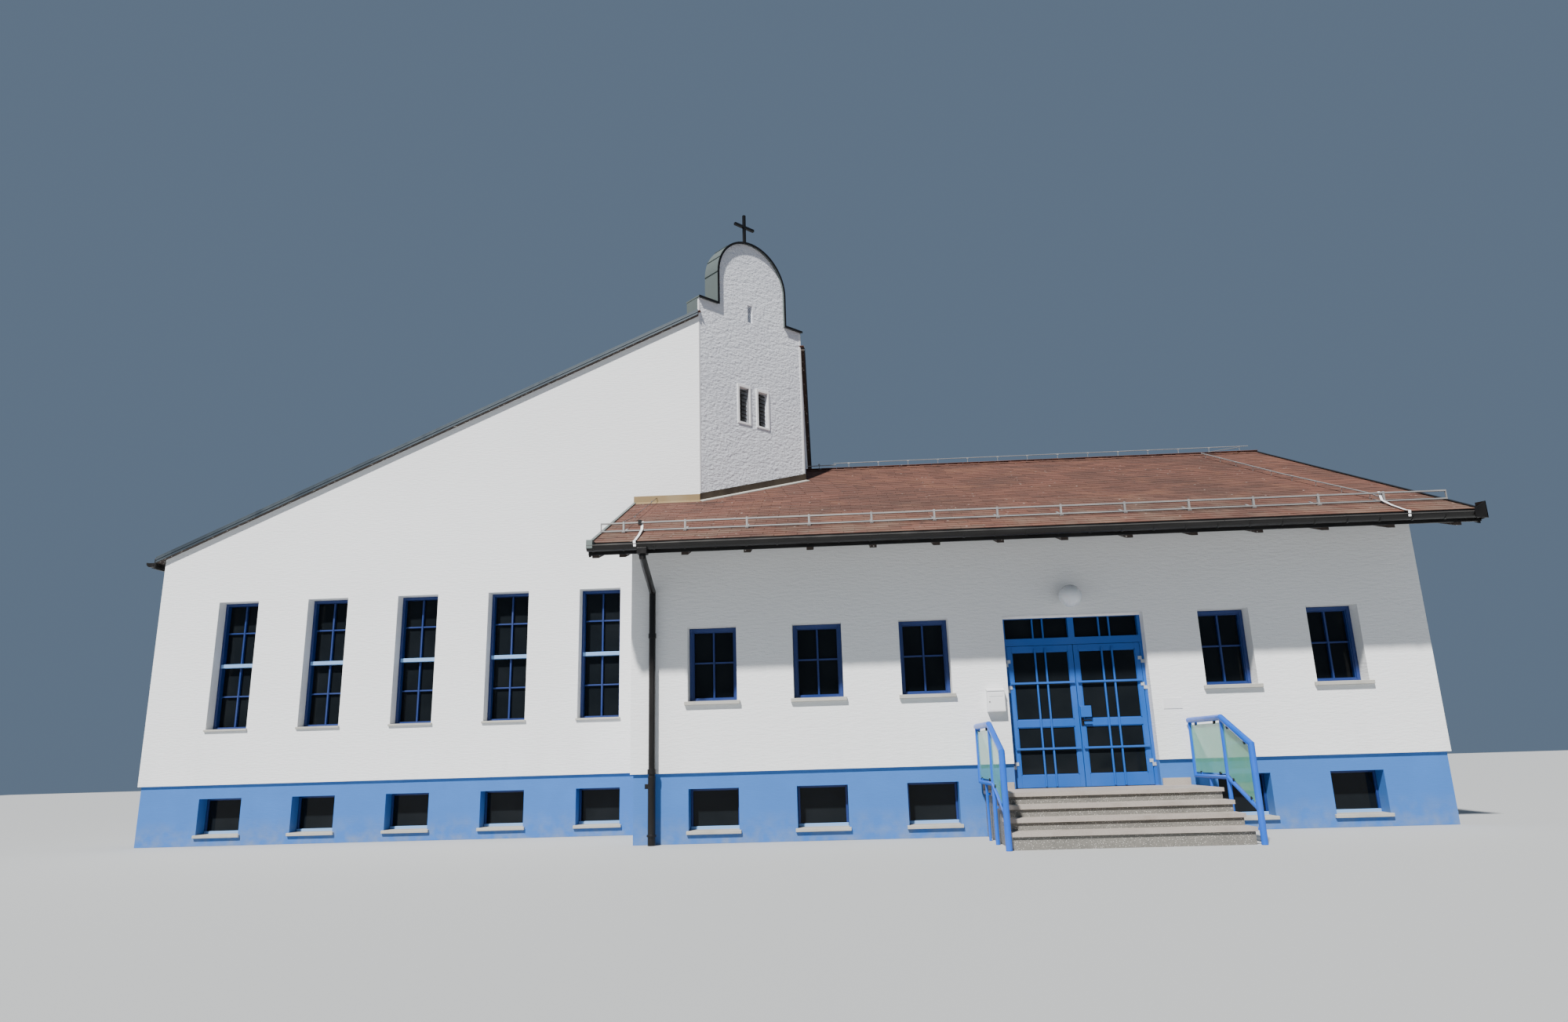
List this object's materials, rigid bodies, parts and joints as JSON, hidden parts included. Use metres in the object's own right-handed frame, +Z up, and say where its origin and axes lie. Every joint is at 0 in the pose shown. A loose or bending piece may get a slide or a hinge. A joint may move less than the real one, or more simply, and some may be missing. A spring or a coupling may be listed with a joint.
{
  "type": "modern church building",
  "caption": "Modern church with a low gabled hall wing, a taller hipped nave and a bell gable with a cross on the nave's cut corner; the entrance doors swing open.",
  "frame": {"origin": "on the ground, under the middle of the building's bounding box", "axes": "+X along the entrance front to the right when facing the door, +Y from the entrance into the building, +Z up"},
  "size_m": [21.1, 15.9476, 11.79],
  "materials": {
    "white_plaster": "white roughcast over masonry, pale blue plinth below",
    "floor_concrete": "plain floor",
    "roof_shingles": "weathered red-brown shingles",
    "dark_metal": "dark brown paint",
    "zinc_sheet": "dull zinc sheet",
    "louvre_board": "pale paint",
    "black_iron": "black paint",
    "window_glass": "dark panes",
    "blue_door": "blue lacquer",
    "blue_rail": "bright blue paint",
    "rail_glass": "green tinted safety glass",
    "step_stone": "fine pinkish artificial stone",
    "step_masonry": "washed grey aggregate",
    "lamp_glass": "opal globe",
    "white_metal": "white paint"
  },
  "bodies": {
    "church": {"nave_front_wall": "white_plaster", "nave_left_wall": "white_plaster", "nave_back_wall": "white_plaster", "nave_right_wall": "white_plaster", "bell_gable": "white_plaster", "gable_cap": "zinc_sheet", "bell_louvres": "louvre_board", "gable_cross": "black_iron", "wing_front_wall_left": "white_plaster", "wing_front_wall_right": "white_plaster", "wing_wall_over_door": "white_plaster", "wing_left_wall": "white_plaster", "wing_right_wall": "white_plaster", "wing_back_wall": "white_plaster", "nave_front_windows": "window_glass", "nave_front_cellar_windows": "window_glass", "nave_left_windows": "window_glass", "nave_left_cellar_windows": "window_glass", "nave_back_windows": "window_glass", "nave_back_cellar_windows": "window_glass", "wing_front_windows_left": "window_glass", "wing_front_cellar_windows_left": "window_glass", "wing_front_windows_right": "window_glass", "wing_front_cellar_windows_right": "window_glass", "wing_right_windows": "window_glass", "wing_right_cellar_windows": "window_glass", "wing_back_windows": "window_glass", "wing_back_cellar_windows": "window_glass", "nave_floor": "floor_concrete", "wing_floor": "floor_concrete", "wing_roof_front": "roof_shingles", "wing_roof_back": "roof_shingles", "wing_verge_board_left": "dark_metal", "wing_verge_board_right": "dark_metal", "nave_roof_left": "roof_shingles", "nave_roof_back": "roof_shingles", "wing_front_gutter": "dark_metal", "wing_back_gutter": "dark_metal", "nave_left_gutter": "dark_metal", "nave_back_gutter": "dark_metal", "front_downpipe": "dark_metal", "snow_guard": "zinc_sheet", "door_frame": "blue_door", "transom_glass": "window_glass", "step_base": "step_masonry", "landing_slab": "step_stone", "upper_tread": "step_stone", "middle_tread": "step_stone", "lower_tread": "step_stone", "railing_left": "blue_rail", "railing_left_glass_rear": "rail_glass", "railing_left_glass_front": "rail_glass", "railing_right": "blue_rail", "railing_right_glass_rear": "rail_glass", "railing_right_glass_front": "rail_glass", "globe_lamp": "lamp_glass", "letter_box": "white_metal", "wall_plate": "white_metal"},
    "left_leaf": {"door_leaf_left": "blue_door"},
    "right_leaf": {"door_leaf_right": "blue_door"}
  },
  "joints": [
    {"name": "left_leaf_hinge", "type": "hinge", "parent": "church", "child": "left_leaf", "pos_m": [4.2075, -5.669, 1.65], "axis": [0, 0, -1], "range_deg": [0, 90]},
    {"name": "right_leaf_hinge", "type": "hinge", "parent": "church", "child": "right_leaf", "pos_m": [6.1625, -5.669, 1.65], "axis": [0, 0, 1], "range_deg": [0, 90]}
  ]
}
